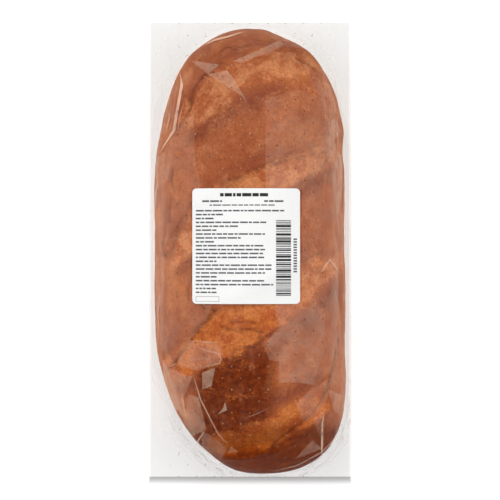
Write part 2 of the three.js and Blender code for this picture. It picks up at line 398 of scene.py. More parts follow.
# Pale flanks, the sole, and small dark pits.
flank = remap(tree, height_here, 56 * MM, 20 * MM, 0, 0.8)
flank = product(tree, flank, math_node(tree, "SUBTRACT", 1.0, fold_end))
flank_crust = mix_colour(tree, remap(tree, amber, 0.35, 0.65), srgb(196, 108, 60), srgb(216, 136, 82))
flank_crust = mix_colour(tree, remap(tree, small_patch, 0.45, 0.65, 0, 0.7), flank_crust, srgb(234, 160, 104))
colour = mix_colour(tree, flank, colour, flank_crust)
sole = remap(tree, height_here, 6 * MM, 2 * MM)
sole_crust = mix_colour(tree, remap(tree, small_patch, 0.35, 0.65), srgb(150, 92, 50), srgb(184, 132, 84))
colour = mix_colour(tree, sole, colour, sole_crust)
pits = add_node(tree, "ShaderNodeTexVoronoi", {"Vector": spot, "Scale": 240}).outputs["Distance"]
pit = product(tree, remap(tree, pits, 0.14, 0.05), remap(tree, wide_patch, 0.4, 0.55, 0, 0.7))
colour = mix_colour(tree, pit, colour, srgb(88, 34, 20))

# Broad differences of tone from one end and side to the other.
lighter_side = math_node(
    tree,
    "MAXIMUM",
    remap(tree, across_here, 5 * MM, 10 * MM),
    remap(tree, across_here, -24 * MM, -33 * MM),
)
lighter_side = product(tree, lighter_side, remap(tree, along_here, 104 * MM, 90 * MM))
lighter_side = product(tree, lighter_side, math_node(tree, "SUBTRACT", 1.0, fold_end))
colour = tint_where(tree, colour, lighter_side, 1.1, 1.1, 1.08)
upper_half = remap(tree, along_here, 30 * MM, 52 * MM)
colour = tint_where(tree, colour, upper_half, 0.94, 0.97, 1.04)
mouth_end = remap(tree, along_here, 96 * MM, 106 * MM)
colour = tint_where(tree, colour, mouth_end, 0.92, 0.92, 0.95)
amber_start = remap(tree, along_here, 68 * MM, 78 * MM)
amber_end = remap(tree, along_here, 96 * MM, 88 * MM)
amber_patch = product(tree, amber_start, amber_end, remap(tree, across_here, 12 * MM, 22 * MM))
colour = tint_where(tree, colour, amber_patch, 1.12, 1.16, 1.08)
glow_start = remap(tree, along_here, -94 * MM, -99 * MM)
glow = product(tree, glow_start, remap(tree, along_here, -111 * MM, -105 * MM))
colour = tint_where(tree, colour, glow, 1.12, 1.14, 0.85)
tip = remap(tree, along_here, -99 * MM, -107 * MM)
colour = tint_where(tree, colour, tip, 1.0, 0.9, 0.4)

# Fine grain, wrinkles, pale flecks, and painted shade along the cracks.
toned = texture(tree, spot, 620, 4, 0.7)
toned = mix_colour(tree, remap(tree, toned, 0.3, 0.7), (0.7, 0.64, 0.6, 1), (1.24, 1.28, 1.32, 1))
colour = mix_colour(tree, remap(tree, ragged_cut, 0.1, 0.95, 0.45, 0.65), colour, toned, "MULTIPLY")
wrinkles = texture(tree, spot, 135, 4, 0.6)
wrinkles = remap(tree, math_node(tree, "ABSOLUTE", math_node(tree, "SUBTRACT", wrinkles, 0.5)), 0.014, 0.0)
wrinkles = product(tree, wrinkles, remap(tree, texture(tree, spot, 36, 2), 0.48, 0.62, 0, 0.4))
colour = mix_colour(tree, wrinkles, colour, srgb(104, 44, 28))
flecks = add_node(tree, "ShaderNodeTexVoronoi", {"Vector": spot, "Scale": 330}).outputs["Distance"]
fleck_share = remap(tree, small_patch, 0.48, 0.6, 0, 0.5)
fleck_share = product(tree, fleck_share, math_node(tree, "SUBTRACT", 1.0, well_baked))
fleck = product(tree, remap(tree, flecks, 0.16, 0.06), fleck_share)
colour = mix_colour(tree, fleck, colour, srgb(236, 166, 114))
# Painted shade along the cracks, for the shade in their grooves and under the lips.
crack_shade = product(tree, attribute(tree, "crack"), 0.75)
colour = mix_colour(tree, crack_shade, colour, srgb(76, 30, 22))

# The surface itself: leathery on the smooth crust, rough in the cuts.
leather = texture(tree, spot, 420, 5, 0.65)
rough_grain = texture(tree, spot, 1100, 4, 0.7)
grain_height = mix_colour(tree, attribute(tree, "in_cut"), leather, rough_grain)
bump = add_node(
    tree,
    "ShaderNodeBump",
    {"Strength": 0.6, "Distance": 0.6 * MM, "Height": grain_height},
).outputs["Normal"]
crust_surface = add_node(
    tree,
    "ShaderNodeBsdfPrincipled",
    {
        "Base Color": colour,
        "Roughness": remap(tree, ragged_cut, 0.2, 0.8, 0.5, 0.75),
        "Normal": bump,
        "Specular IOR Level": 0.03,
    },
)
tree.links.new(crust_surface.outputs[0], add_node(tree, "ShaderNodeOutputMaterial").inputs["Surface"])
loaf.data.materials.append(crust)

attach(loaf, "root")
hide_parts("loaf")


# --- Film bag -----------------------------------------------------------------------------
# The bag is one web of thin clear film, folded round the loaf: a front and a back that meet
# along the sides and in the weld at the folded end, and lie open at the mouth. Taut film
# lies on the crown, lifts off in flat facets, and is creased where it was folded.
FILM_THICKNESS = 0.1 * MM
FILM_LIFT = 0.35 * MM  # film stands this far off the crust it lies on
MOUTH_GAP = 0.3 * MM
SIDE_EDGE = 0.5 * MM  # the thin folded edge stands out this far past the solid bag
END_EDGE = 0.3 * MM
ACROSS_STEPS = 84
ALONG_STEPS = 170
SETTLING_ROUNDS = 1600
OVERSHOOT = 1.93  # each round moves this much further than needed, to settle sooner
PRESSING_ROUNDS = 60

half_width = (BAG_HIGH.x - BAG_LOW.x) / 2 + SIDE_EDGE
half_length = (BAG_HIGH.y - BAG_LOW.y) / 2 + END_EDGE


def eased(count, half):
    """Places from -half to half, closer together near both ends."""
    share = np.linspace(-1, 1, count + 1)
    return half * (0.55 * share + 0.45 * np.sin(share * math.pi / 2))


xs = eased(ACROSS_STEPS, half_width)
ys = eased(ALONG_STEPS, half_length)
grid_x, grid_y = np.meshgrid(xs, ys, indexing="ij")

shape = bmesh.new()
shape.from_mesh(loaf.data)
loaf_tree = BVHTree.FromBMesh(shape)
shape.free()


def loaf_surface(direction, missed):
    """Height of the loaf under or over each place of the grid, a little spread sideways."""
    start = 0.2 if direction < 0 else -0.1
    found = np.full(grid_x.shape, missed)
    pick = max if direction < 0 else min
    for i in range(1, ACROSS_STEPS):
        for j in range(1, ALONG_STEPS):
            hit = loaf_tree.ray_cast(Vector((xs[i], ys[j], start)), Vector((0, 0, direction)))[0]
            if hit:
                for a, b in ((i, j), (i - 1, j), (i + 1, j), (i, j - 1), (i, j + 1)):
                    found[a, b] = pick(found[a, b], hit.z)
    return found


def settle(rim, obstacle, touching):
    """Taut film: every place settles between its neighbours but stays clear of the loaf."""
    surface = np.full(grid_x.shape, rim)
    surface[1:-1, 1:-1] = touching(surface, obstacle)[1:-1, 1:-1]
    left = (1 / np.diff(xs)[:-1])[:, None]
    right = (1 / np.diff(xs)[1:])[:, None]
    before = (1 / np.diff(ys)[:-1])[None, :]
    after = (1 / np.diff(ys)[1:])[None, :]
    width = (xs[2:] - xs[:-2])[:, None]
    length = (ys[2:] - ys[:-2])[None, :]
    total = (left + right) / width + (before + after) / length
    checker = (np.add.outer(np.arange(1, ACROSS_STEPS), np.arange(1, ALONG_STEPS)) % 2).astype(bool)
    for turn in range(SETTLING_ROUNDS):
        middle = surface[1:-1, 1:-1]
        pull = (left * surface[:-2, 1:-1] + right * surface[2:, 1:-1]) / width
        pull = pull + (before * surface[1:-1, :-2] + after * surface[1:-1, 2:]) / length
        moved = touching(middle + OVERSHOOT * (pull / total - middle), obstacle[1:-1, 1:-1])
        surface[1:-1, 1:-1] = np.where(checker == bool(turn % 2), moved, middle)
    return surface


loaf_top = loaf_surface(-1, -1.0)
front = settle(RIM_Z + MOUTH_GAP / 2, loaf_top + FILM_LIFT, np.maximum)
loaf_bottom = np.maximum(loaf_surface(1, 1.0) - FILM_LIFT, 0.3 * MM)
back = settle(RIM_Z - MOUTH_GAP / 2, loaf_bottom, np.minimum)

# Loose film beyond the loaf is faintly crinkled, most of all where it leaves the loaf.
level = (np.abs(grid_x - lean_at(grid_y)) / (LOAF_WIDTH / 2)) ** END_ROUNDNESS
fullness = np.where(grid_y > 0, MOUTH_END_FULLNESS, FOLD_END_FULLNESS)
level = level + (np.abs(grid_y) / (LOAF_LENGTH / 2)) ** fullness
slope = np.hypot(*np.gradient(level, xs, ys))
beyond = (level - 1) / np.maximum(slope, 1)  # how far a place is outside the loaf
slack = smoothstep(beyond, -1 * MM, 1 * MM) * smoothstep(-beyond, -9 * MM, -4 * MM)
from_edge = np.minimum(half_width - np.abs(grid_x), half_length - np.abs(grid_y))
edge_ease = smoothstep(from_edge, 0.5 * MM, 5 * MM)
grid_points = np.column_stack([grid_x.ravel(), grid_y.ravel(), np.zeros(grid_x.size)])
crinkle = noise_at(grid_points, 11 * MM, 21).reshape(grid_x.shape)
front += (0.3 + 0.5 * slack) * crinkle * edge_ease * smoothstep(beyond, -1 * MM, 2 * MM) * MM
back += 0.4 * MM * np.roll(crinkle, 17, axis=0) * edge_ease * smoothstep(back, 3 * MM, 10 * MM)

# The label presses the film under it smooth.
LABEL_LOW, LABEL_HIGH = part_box("label")
under_label = smoothstep(
    np.minimum(
        np.minimum(grid_x - LABEL_LOW.x, LABEL_HIGH.x - grid_x),
        np.minimum(grid_y - LABEL_LOW.y, LABEL_HIGH.y - grid_y),
    ),
    -5 * MM,
    0,
)
pressed = front.copy()
for _ in range(PRESSING_ROUNDS):
    between = pressed[:-2, 1:-1] + pressed[2:, 1:-1] + pressed[1:-1, :-2] + pressed[1:-1, 2:]
    pressed[1:-1, 1:-1] = np.maximum(between / 4, front[1:-1, 1:-1])
front += under_label * (pressed - front)

# Facets, where the film stands off the crust, whitened partly by haze and partly by a painted
# sheen: corners across and along, how milky the facet is (1 is about 2% at each surface),
# and how far it stands off, in millimetres.
FACETS = [
    ([(-31, 100), (-16, 97), (-22, 92)], 4.5, 0.9),
    ([(-22, 92), (-12, 94), (-8, 89), (-1, 76), (-4, 80)], 5.5, 0.9),
    ([(-9, 99), (0, 103), (7, 106), (16, 111), (18, 108), (9, 103), (2, 101), (-4, 98)], 4.5, 0.8),
    ([(-29, 73), (-29, 51), (-25, 30), (-31, 30), (-31, -26), (-19, -27), (-23, -37), (-32, -48),
      (-43, -62), (-47, -50), (-49, 0), (-48, 38), (-45, 52), (-40, 64)], 2, 0.3),
    ([(-37, -31), (-19, -28), (-27, -41), (-39, -58), (-43, -61), (-46, -52), (-44, -36)], 2, 0.6),
    ([(8, 64), (8, 31), (27, 31), (27, -26), (13, -27), (15, -40), (7, -49), (10, -57), (15, -58),
      (15, -69), (24, -69), (35, -71), (43, -63), (46, -49), (47, 10), (44, 68), (22, 70)], 2.5, 0.3),
    ([(8, 78), (8, 64), (22, 70), (44, 68), (43, 78), (24, 84)], 1.5, 0.3),
    ([(8, 32), (27, 32), (36, 42), (46, 52), (44, 60), (30, 54), (16, 48), (8, 45)], 3.5, 0.3),
    ([(-37, -53), (-31, -47), (-22, -48), (-15, -50), (-15, -59), (-28, -63), (-38, -60)], 3.5, 0.4),
    ([(13, -30), (28, -30), (38, -28), (40, -50), (33, -70), (24, -69), (16, -69), (15, -58),
      (8, -49), (15, -41)], 4, 0.5),
    ([(43, 68), (45, 70), (48, 63), (42, 54), (40, 55)], 5, 0.8),
    ([(46, 52), (49, 50), (49, 33), (47, 19), (43, 33), (44, 41)], 5.5, 0.6),
    ([(43, -33), (48, -33), (49, -70), (42, -72), (42, -56), (45, -46)], 2, 0.5),
    ([(-25, -64), (-18, -61), (-20, -71), (-25, -73)], 6.5, 0.7),
    ([(-42, -73), (-36, -72), (-35, -82), (-31, -96), (-38, -84)], 4.5, 0.7),
    ([(-43, -62), (-33, -66), (-30, -66), (-36, -80), (-39, -80)], 4.5, 0.6),
    ([(-46, -58), (-43, -63), (-39, -78), (-36, -86), (-40, -84), (-46, -70)], 5, 0.4),
    ([(24, -80), (33, -72), (42, -67), (41, -77), (37, -85), (28, -90)], 3, 0.4),
    ([(-26, -95), (-20, -98), (-12, -104), (-15, -111), (-25, -106)], 3, 0.4),
    ([(41, -73), (49, -77), (47, -87), (44, -84)], 5, 0.8),
    ([(36, -86), (39, -84), (39, -104), (33, -88)], 3, 0.8),
    ([(33, -100), (38, -105), (24, -110), (30, -103)], 4.5, 0.8),
    ([(-10, -103), (-12, -107), (-6, -106)], 4, 0.7),
    ([(-27, -77), (-23, -94), (-31, -99), (-35, -91), (-32, -76)], 5, 0.5),
    ([(-50, 48), (-45, 52), (-42, 45), (-43, 37), (-47, 32), (-50, 33)], 4, 0.4),
    ([(-50, -2), (-46, -4), (-45, -12), (-46, -28), (-50, -31)], 4, 0.4),
]

# Creases, whitened partly by haze and partly by a painted highlight: the places that a crease
# runs through, its half width, how far it stands up, in millimetres, and how white it is (as
# for the facets).
CREASES = [
    ([(-37, 94), (-36, 87), (-39, 69), (-40, 63), (-48, 51)], 0.75, 0.8, 20),
    ([(-25, 108), (-19, 111), (-11, 113), (-2, 116)], 0.5, 0.6, 18),
    ([(-41, 80), (-43, 68), (-45, 60)], 0.5, 0.4, 8),
    ([(-31, 106), (-36, 100), (-39, 93), (-41, 88)], 0.5, 0.4, 10),
    ([(-34, 79), (-37, 70), (-38, 61)], 0.5, 0.5, 8),
    ([(17, 117), (26, 112), (33, 106), (38, 99), (42, 91), (45, 83)], 0.5, 0.4, 9),
    ([(-48, 40), (-50, 30), (-50, 20)], 0.6, 0.5, 8),
    ([(45, 30), (46, 22), (46, 12)], 0.9, 0.4, 5),
    ([(37, -12), (39, -9), (42, -5), (45, -9), (48, -13)], 0.5, 0.6, 13),
    ([(44, -18), (46, -28), (47, -40), (48, -52)], 0.8, 0.4, 4),
    ([(27, -22), (37, -26), (45, -33)], 0.4, 0.4, 4),
    ([(-47, -20), (-49, -32), (-48, -44)], 0.6, 0.5, 8),
    ([(-30, -47), (-22, -48), (-13, -48)], 0.4, 0.5, 10),
    ([(-32, -49), (-24, -52), (-16, -54), (-15, -57), (-16, -59), (-29, -62)], 0.4, 0.6, 10),
    ([(-37, -58), (-27, -57), (-18, -56)], 0.4, 0.4, 6),
    ([(-43, -62), (-38, -59)], 0.4, 0.5, 10),
    ([(-30, -64), (-28, -71), (-26, -78), (-22, -86), (-17, -96), (-11, -103)], 0.4, 0.8, 10),
    ([(-36, -73), (-35, -82), (-33, -91)], 0.5, 0.5, 10),
    ([(-13, -79), (-13, -83), (-17, -86)], 1.2, 0.6, 9),
    ([(-4, -88), (2, -86), (15, -80)], 0.4, 0.4, 3),
    ([(39, -85), (38, -91), (38, -97), (38, -104), (38, -110)], 0.5, 0.8, 20),
    ([(-23, -94), (-27, -100), (-30, -107)], 0.4, 0.6, 15),
    ([(47, -92), (45, -100), (38, -107), (25, -114), (12, -117)], 0.4, 0.4, 8),
    ([(-26, -106), (-18, -111), (-8, -115)], 0.4, 0.4, 4),
    ([(-52, 101), (-47, 110), (-38, 118)], 0.6, 0.5, 12),
    ([(-50, 85), (-46, 89), (-41, 93)], 0.5, 0.5, 10),
    ([(40, 110), (43, 104), (46, 96)], 0.5, 0.5, 12),
    ([(-46, -96), (-38, -103), (-31, -112)], 0.6, 0.5, 12),
    ([(41, -106), (46, -99), (51, -89)], 0.6, 0.5, 12),
    ([(18, -119), (31, -115), (42, -109)], 0.6, 0.4, 10),
]


def ribbon(points, half):
    """The outline of a long sliver round a line of places, pointed at both ends."""
    points = [Vector(point) for point in points]
    left, right = [], []
    for number in range(1, len(points) - 1):
        run = (points[number + 1] - points[number - 1]).normalized()
        out = Vector((-run.y, run.x)) * half
        left.append(points[number] + out)
        right.append(points[number] - out)
    if not left:
        run = (points[1] - points[0]).normalized()
        out = Vector((-run.y, run.x)) * half
        middle = (points[0] + points[1]) / 2
        left, right = [middle + out], [middle - out]
    return [points[0], *left, points[-1], *reversed(right)]


def is_inside(points, x, y):
    """Whether each place is inside the outline that the points make."""
    inside = np.zeros(np.shape(x), dtype=bool)
    for (x0, y0), (x1, y1) in zip(points, points[1:] + points[:1]):
        if y0 != y1:
            crossed = (y0 > y) != (y1 > y)
            inside ^= crossed & (x < x0 + (x1 - x0) * (y - y0) / (y1 - y0))
    return inside


def score(shape, points, closed):
    """Scores the film along a line of places, so that a fold has edges of its own."""
    ends = points[1:] + points[:1] if closed else points[1:]
    for start, end in zip(points, ends):
        start, end = Vector(start) * MM, Vector(end) * MM
        run = (end - start).normalized()
        reach = (end - start).length / 2 + 1.3 * MM
        middle = (start + end) / 2
        near = []
        for face in shape.faces:
            if not face[side_layer]:
                off = face.calc_center_median().xy - middle
                if abs(off.dot(run)) < reach and abs(off.cross(run)) < 2 * MM:
                    near.append(face)
        edges = {edge for face in near for edge in face.edges}
        verts = {vert for face in near for vert in face.verts}
        bmesh.ops.bisect_plane(
            shape,
            geom=[*verts, *edges, *near],
            dist=0.05 * MM,
            plane_co=start.to_3d(),
            plane_no=Vector((-run.y, run.x, 0)),
        )


def height_on(grid, x, y):
    """Height of the film at each place, between the places of the grid."""
    i = np.clip(np.searchsorted(xs, x) - 1, 0, ACROSS_STEPS - 1)
    j = np.clip(np.searchsorted(ys, y) - 1, 0, ALONG_STEPS - 1)
    s = (x - xs[i]) / (xs[i + 1] - xs[i])
    t = (y - ys[j]) / (ys[j + 1] - ys[j])
    near = grid[i, j] * (1 - s) + grid[i + 1, j] * s
    far = grid[i, j + 1] * (1 - s) + grid[i + 1, j + 1] * s
    return near * (1 - t) + far * t


shape = bmesh.new()
side_layer = shape.faces.layers.int.new("is_back")
haze_and_sheen_layer = shape.faces.layers.float.new("haze_and_sheen")
beyond_layer = shape.verts.layers.float.new("beyond")
bmesh.ops.create_grid(shape, x_segments=ACROSS_STEPS, y_segments=ALONG_STEPS, size=0.5)
for vert in shape.verts:
    i = round((vert.co.x + 0.5) * ACROSS_STEPS)
    j = round((vert.co.y + 0.5) * ALONG_STEPS)
    vert.co = (xs[i], ys[j], 0)
copied = bmesh.ops.duplicate(shape, geom=shape.verts[:] + shape.edges[:] + shape.faces[:])["geom"]
back_faces = [part for part in copied if isinstance(part, bmesh.types.BMFace)]
bmesh.ops.reverse_faces(shape, faces=back_faces)
for face in back_faces:
    face[side_layer] = 1
slivers = [(ribbon(line, half), white) for line, half, _, white in CREASES]
for corners, _, _ in FACETS:
    score(shape, corners, True)
for (line, _, _, _), (outline, _) in zip(CREASES, slivers):
    score(shape, line, False)
    score(shape, outline, True)

film_verts = shape.verts[:]
flat_x = np.array([vert.co.x for vert in film_verts])
flat_y = np.array([vert.co.y for vert in film_verts])
is_back = np.array([vert.link_faces[0][side_layer] == 1 for vert in film_verts])
free = smoothstep(np.minimum(half_width - np.abs(flat_x), half_length - np.abs(flat_y)), 0.5 * MM, 4 * MM)
free = free * (1 - height_on(under_label, flat_x, flat_y))
x, y = flat_x / MM, flat_y / MM
stand = np.zeros(len(film_verts))
for corners, _, lift in FACETS:
    gap = distance_to_line(corners + corners[:1], x, y)
    stand = np.maximum(stand, is_inside(corners, x, y) * lift * np.minimum(1, gap / 2.5))
for line, half, lift, _ in CREASES:
    stand += lift * np.maximum(0, 1 - distance_to_line(line, x, y) / half)
heights = height_on(front, flat_x, flat_y) + stand * free * MM
heights = np.where(is_back, height_on(back, flat_x, flat_y), heights)
at_rim = (np.abs(flat_x) > half_width - 0.01 * MM) | (flat_y < 0.01 * MM - half_length)
heights = np.where(at_rim, RIM_Z, heights)
far = height_on(beyond, flat_x, flat_y) / MM
for vert, z, value in zip(shape.verts, heights, far):
    vert.co.z = z
    vert[beyond_layer] = value
film_faces = shape.faces[:]
middles = np.array([face.calc_center_median() for face in film_faces]) / MM
x, y = middles[:, 0], middles[:, 1]
on_back = np.array([face[side_layer] == 1 for face in film_faces])
# The facets and creases carry haze and a painted sheen, on the front of the bag only.
facet_haze_and_sheen = np.zeros(len(film_faces))
for corners, strength, _ in FACETS:
    facet_haze_and_sheen = np.maximum(facet_haze_and_sheen, is_inside(corners, x, y) * strength)
for outline, white in slivers:
    facet_haze_and_sheen = np.maximum(facet_haze_and_sheen, is_inside(outline, x, y) * white)
for face, value in zip(film_faces, np.where(on_back, 0.0, facet_haze_and_sheen)):
    face[haze_and_sheen_layer] = value
bmesh.ops.remove_doubles(shape, verts=shape.verts[:], dist=0.01 * MM)
# At a corner of the weld, three places of a face are on the rim, front and back alike. Each
# such face is split through the corner, so that the two don't share an edge across it.
for face in shape.faces[:]:
    inner = [number for number, vert in enumerate(face.verts) if abs(vert.co.z - RIM_Z) > 0.001 * MM]
    if len(face.verts) == 4 and len(inner) == 1:
        corner = face.verts[(inner[0] + 2) % 4]
        bmesh.ops.connect_verts(shape, verts=[face.verts[inner[0]], corner])
film_bag = new_piece("film_wrap", shape)
wall = film_bag.modifiers.new("film_thickness", "SOLIDIFY")
wall.thickness = FILM_THICKNESS
wall.offset = -1

# The film is pricked with rows of small holes along its middle. They are drawn as spots,
# and don't go through it.
HOLE_PITCH = 9.5 * MM
HOLE_ROW = 6.05 * MM
HOLE_RADIUS = 0.42 * MM


def line_at(tree, value, level, half):
    """1 where a value crosses a level, 0 away from it."""
    off = math_node(tree, "ABSOLUTE", math_node(tree, "SUBTRACT", value, level))
    return remap(tree, off, half, 0.0)


film, tree = new_material("clear_film")
spot = add_node(tree, "ShaderNodeTexCoord").outputs["Object"]
across_here, along_here = add_node(tree, "ShaderNodeSeparateXYZ", {0: spot}).outputs[:2]
beyond_loaf = attribute(tree, "beyond")

# Haze and painted sheen: faint haze all over; more beside the crown, partly a painted
# reflection on the steep film; more on the facets and most on the creases, partly a painted
# highlight.
soft = texture(tree, spot, 60, 3)
drawn_out = add_node(
    tree, "ShaderNodeVectorMath", {0: spot, 1: (1.0, 0.12, 1.0)}, operation="MULTIPLY"
).outputs[0]
streaks = texture(tree, drawn_out, 260, 3)
milk_and_sheen_share = remap(tree, soft, 0.35, 0.7, 0.0, 0.005)
milk_and_sheen_share = math_node(tree, "ADD", milk_and_sheen_share, remap(tree, streaks, 0.5, 0.68, 0.0, 0.012))
# Haze and a painted sheen where the facets and creases are.
patchy = remap(tree, texture(tree, spot, 130, 3), 0.35, 0.65, 0.014, 0.026)
patchy = product(tree, patchy, attribute(tree, "haze_and_sheen"))
milk_and_sheen_share = math_node(tree, "ADD", milk_and_sheen_share, patchy)
# Beside the crown's sides: haze and a painted reflection on the steep film. It is streaked, fades towards
# both ends, and is stronger on the right side.
sheen_beside_crown = remap(tree, beyond_loaf, -13, -1)
sheen_beside_crown = product(tree, sheen_beside_crown, remap(tree, beyond_loaf, 1, -0.5))
away_from_ends = remap(tree, math_node(tree, "ABSOLUTE", along_here), 98 * MM, 80 * MM)
streaked = remap(tree, streaks, 0.42, 0.56, 0.02, 0.08)
right_side = remap(tree, across_here, -5 * MM, 5 * MM, 1, 1.4)
sheen_beside_crown = product(tree, sheen_beside_crown, away_from_ends, streaked, right_side)
milk_and_sheen_share = math_node(tree, "ADD", milk_and_sheen_share, sheen_beside_crown)
tight = remap(tree, along_here, -98 * MM, -106 * MM)
tight = product(tree, tight, remap(tree, attribute(tree, "haze_and_sheen"), 0.5, 0.1))
milk_and_sheen_share = product(tree, milk_and_sheen_share, remap(tree, tight, 0, 1, 1, 0.1))

# What clear film takes away from the light: more beyond the loaf, a little more towards the
# mouth end, and least at its edges. In a strip just beside the loaf's sides it takes more and
# warmer: painted shade, standing for the loaf's shade on the floor.
outer_tone = mix_colour(
    tree, remap(tree, along_here, -60 * MM, 80 * MM), (0.951, 0.951, 0.949, 1), (0.943, 0.944, 0.94, 1)
)
# Painted shade: darker, warmer film in a strip just beside the loaf's sides, away from its ends.
outer_tone = mix_colour(
    tree,
    product(tree, away_from_ends, remap(tree, beyond_loaf, 6, 1)),
    outer_tone,
    mix_colour(
        tree, remap(tree, across_here, -5 * MM, 5 * MM), (0.933, 0.932, 0.93, 1), (0.932, 0.926, 0.919, 1)
    ),
)
at_edge = remap(tree, math_node(tree, "ABSOLUTE", across_here), half_width - 1.3 * MM, half_width - 0.9 * MM)
outer_tone = mix_colour(tree, at_edge, outer_tone, (0.975, 0.974, 0.972, 1))
clear_tone = mix_colour(tree, remap(tree, beyond_loaf, -1, 2), (0.964, 0.963, 0.959, 1), outer_tone)
clear = add_node(tree, "ShaderNodeBsdfTransparent", {"Color": clear_tone}).outputs[0]
# Over the loaf the scattered light is painted warm, for the crust's light coming back through the film.
# Beyond the loaf it is near white.
milk_and_crust_light_tone = mix_colour(tree, remap(tree, beyond_loaf, -1, 2), (1, 0.7, 0.52, 1), (0.95, 0.93, 0.91, 1))
milk_and_sheen = add_node(tree, "ShaderNodeBsdfDiffuse", {"Color": milk_and_crust_light_tone}).outputs[0]
body = add_node(tree, "ShaderNodeMixShader", {0: milk_and_sheen_share, 1: clear, 2: milk_and_sheen}).outputs[0]

# The holes, in rows staggered by half a pitch, drawn as the look of their rims: painted shade
# (dark) on the milky facets, and a painted glint (light) elsewhere.
row = math_node(tree, "ROUND", math_node(tree, "DIVIDE", along_here, HOLE_ROW))
from_row = math_node(tree, "SUBTRACT", along_here, product(tree, row, HOLE_ROW))
odd = math_node(tree, "ABSOLUTE", math_node(tree, "MODULO", row, 2.0))
column = math_node(tree, "MULTIPLY_ADD", odd, 0.5, math_node(tree, "DIVIDE", across_here, HOLE_PITCH))
from_column = math_node(tree, "SUBTRACT", column, math_node(tree, "ROUND", column))
from_column = product(tree, from_column, HOLE_PITCH)
off = product(tree, from_row, from_row)
off = math_node(tree, "SQRT", math_node(tree, "MULTIPLY_ADD", from_column, from_column, off))
hole = remap(tree, off, HOLE_RADIUS, 0.4 * HOLE_RADIUS)
in_middle = remap(tree, math_node(tree, "ABSOLUTE", across_here), 44 * MM, 40 * MM)
hole = product(tree, hole, product(tree, in_middle, 0.75))
# A painted glint where the film is clear, and painted shade on the facets.
lit_hole = remap(tree, attribute(tree, "haze_and_sheen"), 0.35, 0.2)
hole_tone = mix_colour(tree, lit_hole, (0.07, 0.025, 0.02, 1), (0.8, 0.5, 0.3, 1))
hole = product(tree, hole, remap(tree, lit_hole, 0, 1, 1, 0.7))
hole = product(tree, hole, remap(tree, texture(tree, spot, 70, 2), 0.38, 0.6, 0.15, 1))
hole_glint_and_shade = add_node(tree, "ShaderNodeBsdfDiffuse", {"Color": hole_tone}).outputs[0]
body = add_node(tree, "ShaderNodeMixShader", {0: hole, 1: body, 2: hole_glint_and_shade}).outputs[0]

# Fine crinkles round the loaf's outline, most of them near the folded end, drawn only in
# colour: pale lines of painted highlight, and grey lines of painted shade.
strayed = math_node(tree, "MULTIPLY_ADD", texture(tree, spot, 42, 4, 0.6), 9.0, beyond_loaf)
crinkle_shade = math_node(tree, "MAXIMUM", line_at(tree, strayed, 7.5, 0.5), line_at(tree, strayed, 10.5, 0.35))
broken = remap(tree, texture(tree, spot, 75, 2), 0.42, 0.6)
crinkle_shade = product(tree, crinkle_shade, broken)
crinkle_shade = product(tree, crinkle_shade, remap(tree, along_here, -60 * MM, -95 * MM, 0.06, 0.22))
crinkle_shade = product(tree, crinkle_shade, remap(tree, beyond_loaf, 0.3, 1.5))
# Painted highlight along the crinkles.
crinkle_highlight = math_node(tree, "MAXIMUM", line_at(tree, strayed, 6.3, 0.8), line_at(tree, strayed, 9.2, 0.9))
crinkle_highlight = product(tree, crinkle_highlight, remap(tree, texture(tree, spot, 95, 2), 0.4, 0.62))
crinkle_highlight = product(tree, crinkle_highlight, remap(tree, along_here, -72 * MM, -100 * MM, 0.02, 0.13))
crinkle_highlight = product(tree, crinkle_highlight, remap(tree, beyond_loaf, 0.3, 1.5))
body = add_node(tree, "ShaderNodeMixShader", {0: crinkle_highlight, 1: body, 2: milk_and_sheen}).outputs[0]
# Painted shade along the crinkles: a grey that lets less light through.
grey = add_node(tree, "ShaderNodeBsdfTransparent", {"Color": (0.62, 0.6, 0.58, 1)}).outputs[0]
body = add_node(tree, "ShaderNodeMixShader", {0: crinkle_shade, 1: body, 2: grey}).outputs[0]

# Gloss, stronger where the film is seen at a slant.
wave = texture(tree, spot, 150, 3, 0.5)
film_bump = add_node(
    tree, "ShaderNodeBump", {"Strength": 0.25, "Distance": 0.3 * MM, "Height": wave}
).outputs["Normal"]
gloss = add_node(
    tree,
    "ShaderNodeBsdfGlossy",
    {"Color": (1, 1, 1, 1), "Roughness": 0.08, "Normal": film_bump},
).outputs[0]
mirror = add_node(tree, "ShaderNodeLayerWeight", {"Blend": 0.5, "Normal": film_bump}).outputs["Facing"]
mirror_share = math_node(tree, "MULTIPLY_ADD", math_node(tree, "POWER", mirror, 4.0), 0.006, 0.004)
surface = add_node(tree, "ShaderNodeMixShader", {0: mirror_share, 1: body, 2: gloss}).outputs[0]
tree.links.new(surface, add_node(tree, "ShaderNodeOutputMaterial").inputs["Surface"])
film_bag.data.materials.append(film)

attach(film_bag, "root")
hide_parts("film_bag")


# --- Label --------------------------------------------------------------------------------
# The label is a piece of white paper with round corners, stuck on the front of the bag. It
# bends over the crown with the film that it presses smooth.
LABEL_CORNER = 2.2 * MM
PAPER_THICKNESS = 0.1 * MM
PAPER_LIFT = 0.1 * MM
BISECT_STEP = 1 * MM


def flat_panel(shape, low, high, steps):
    """A flat rectangle between two corners, divided into steps across and along."""
    made = bmesh.ops.create_grid(shape, x_segments=steps[0], y_segments=steps[1], size=0.5)["verts"]
    for vert in made:
        vert.co.x = low[0] + (vert.co.x + 0.5) * (high[0] - low[0])
        vert.co.y = low[1] + (vert.co.y + 0.5) * (high[1] - low[1])
    return made


